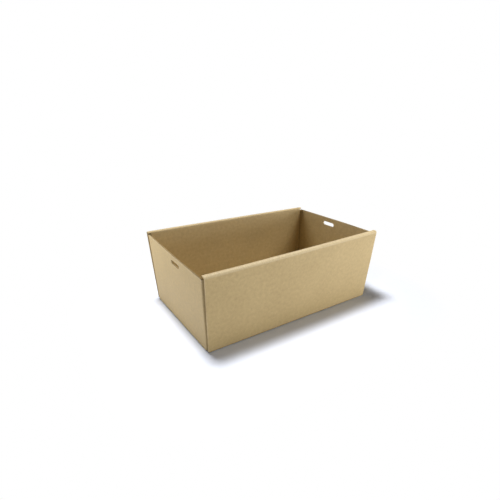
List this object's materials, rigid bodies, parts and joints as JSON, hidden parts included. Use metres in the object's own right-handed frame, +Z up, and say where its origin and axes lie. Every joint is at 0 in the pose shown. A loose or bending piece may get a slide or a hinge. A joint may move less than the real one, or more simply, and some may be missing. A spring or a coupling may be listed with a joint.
{
  "type": "cardboard tray box",
  "caption": "Open kraft tray folded from a die-cut corrugated blank, with double rolled long walls, single end walls and lid slots in the ends.",
  "frame": {"origin": "middle of the underside of the base, on the surface that the tray stands on", "axes": "+X along the long walls, +Y across the tray towards a long wall, +Z up"},
  "size_m": [0.213, 0.13, 0.08],
  "materials": {
    "kraft_board": "matt unprinted brown kraft board"
  },
  "bodies": {
    "root": {"tray": "kraft_board"}
  },
  "joints": []
}
